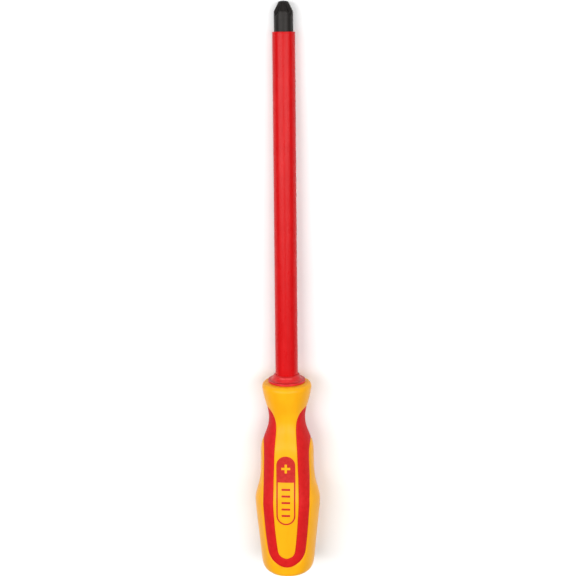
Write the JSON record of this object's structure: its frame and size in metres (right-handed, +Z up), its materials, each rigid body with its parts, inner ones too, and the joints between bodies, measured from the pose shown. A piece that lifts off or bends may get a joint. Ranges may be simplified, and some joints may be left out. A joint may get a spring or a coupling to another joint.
{
  "type": "insulated cross-point screwdriver",
  "caption": "Insulated cross-point screwdriver: sleeved round steel blade in a moulded two-colour handle with soft grip bands.",
  "frame": {"origin": "middle of the tool's bounding box on the bench it lies on", "axes": "+Z up from the bench, +Y along the tool from the butt of the handle to the point, +X to the right when looking from the butt; the badge faces +Z; the tool's own axis dips 2.18 degrees towards the point, because it rests on the handle's back pad and on the end of the sleeve"},
  "size_m": [0.0344, 0.3038, 0.0314],
  "materials": {
    "phosphated_steel": "black phosphate over ground steel",
    "insulation_red": "satin extruded sleeve",
    "core_red": "satin moulded",
    "handle_yellow": "semi-gloss moulded",
    "grip_red": "matte soft grip",
    "badge_red": "satin inlay"
  },
  "bodies": {
    "root": {"blade": "phosphated_steel", "blade_insulation": "insulation_red", "handle_core": "core_red", "handle_body": "handle_yellow", "soft_grip": "grip_red", "front_badge": "badge_red", "back_badge": "badge_red"}
  },
  "joints": []
}
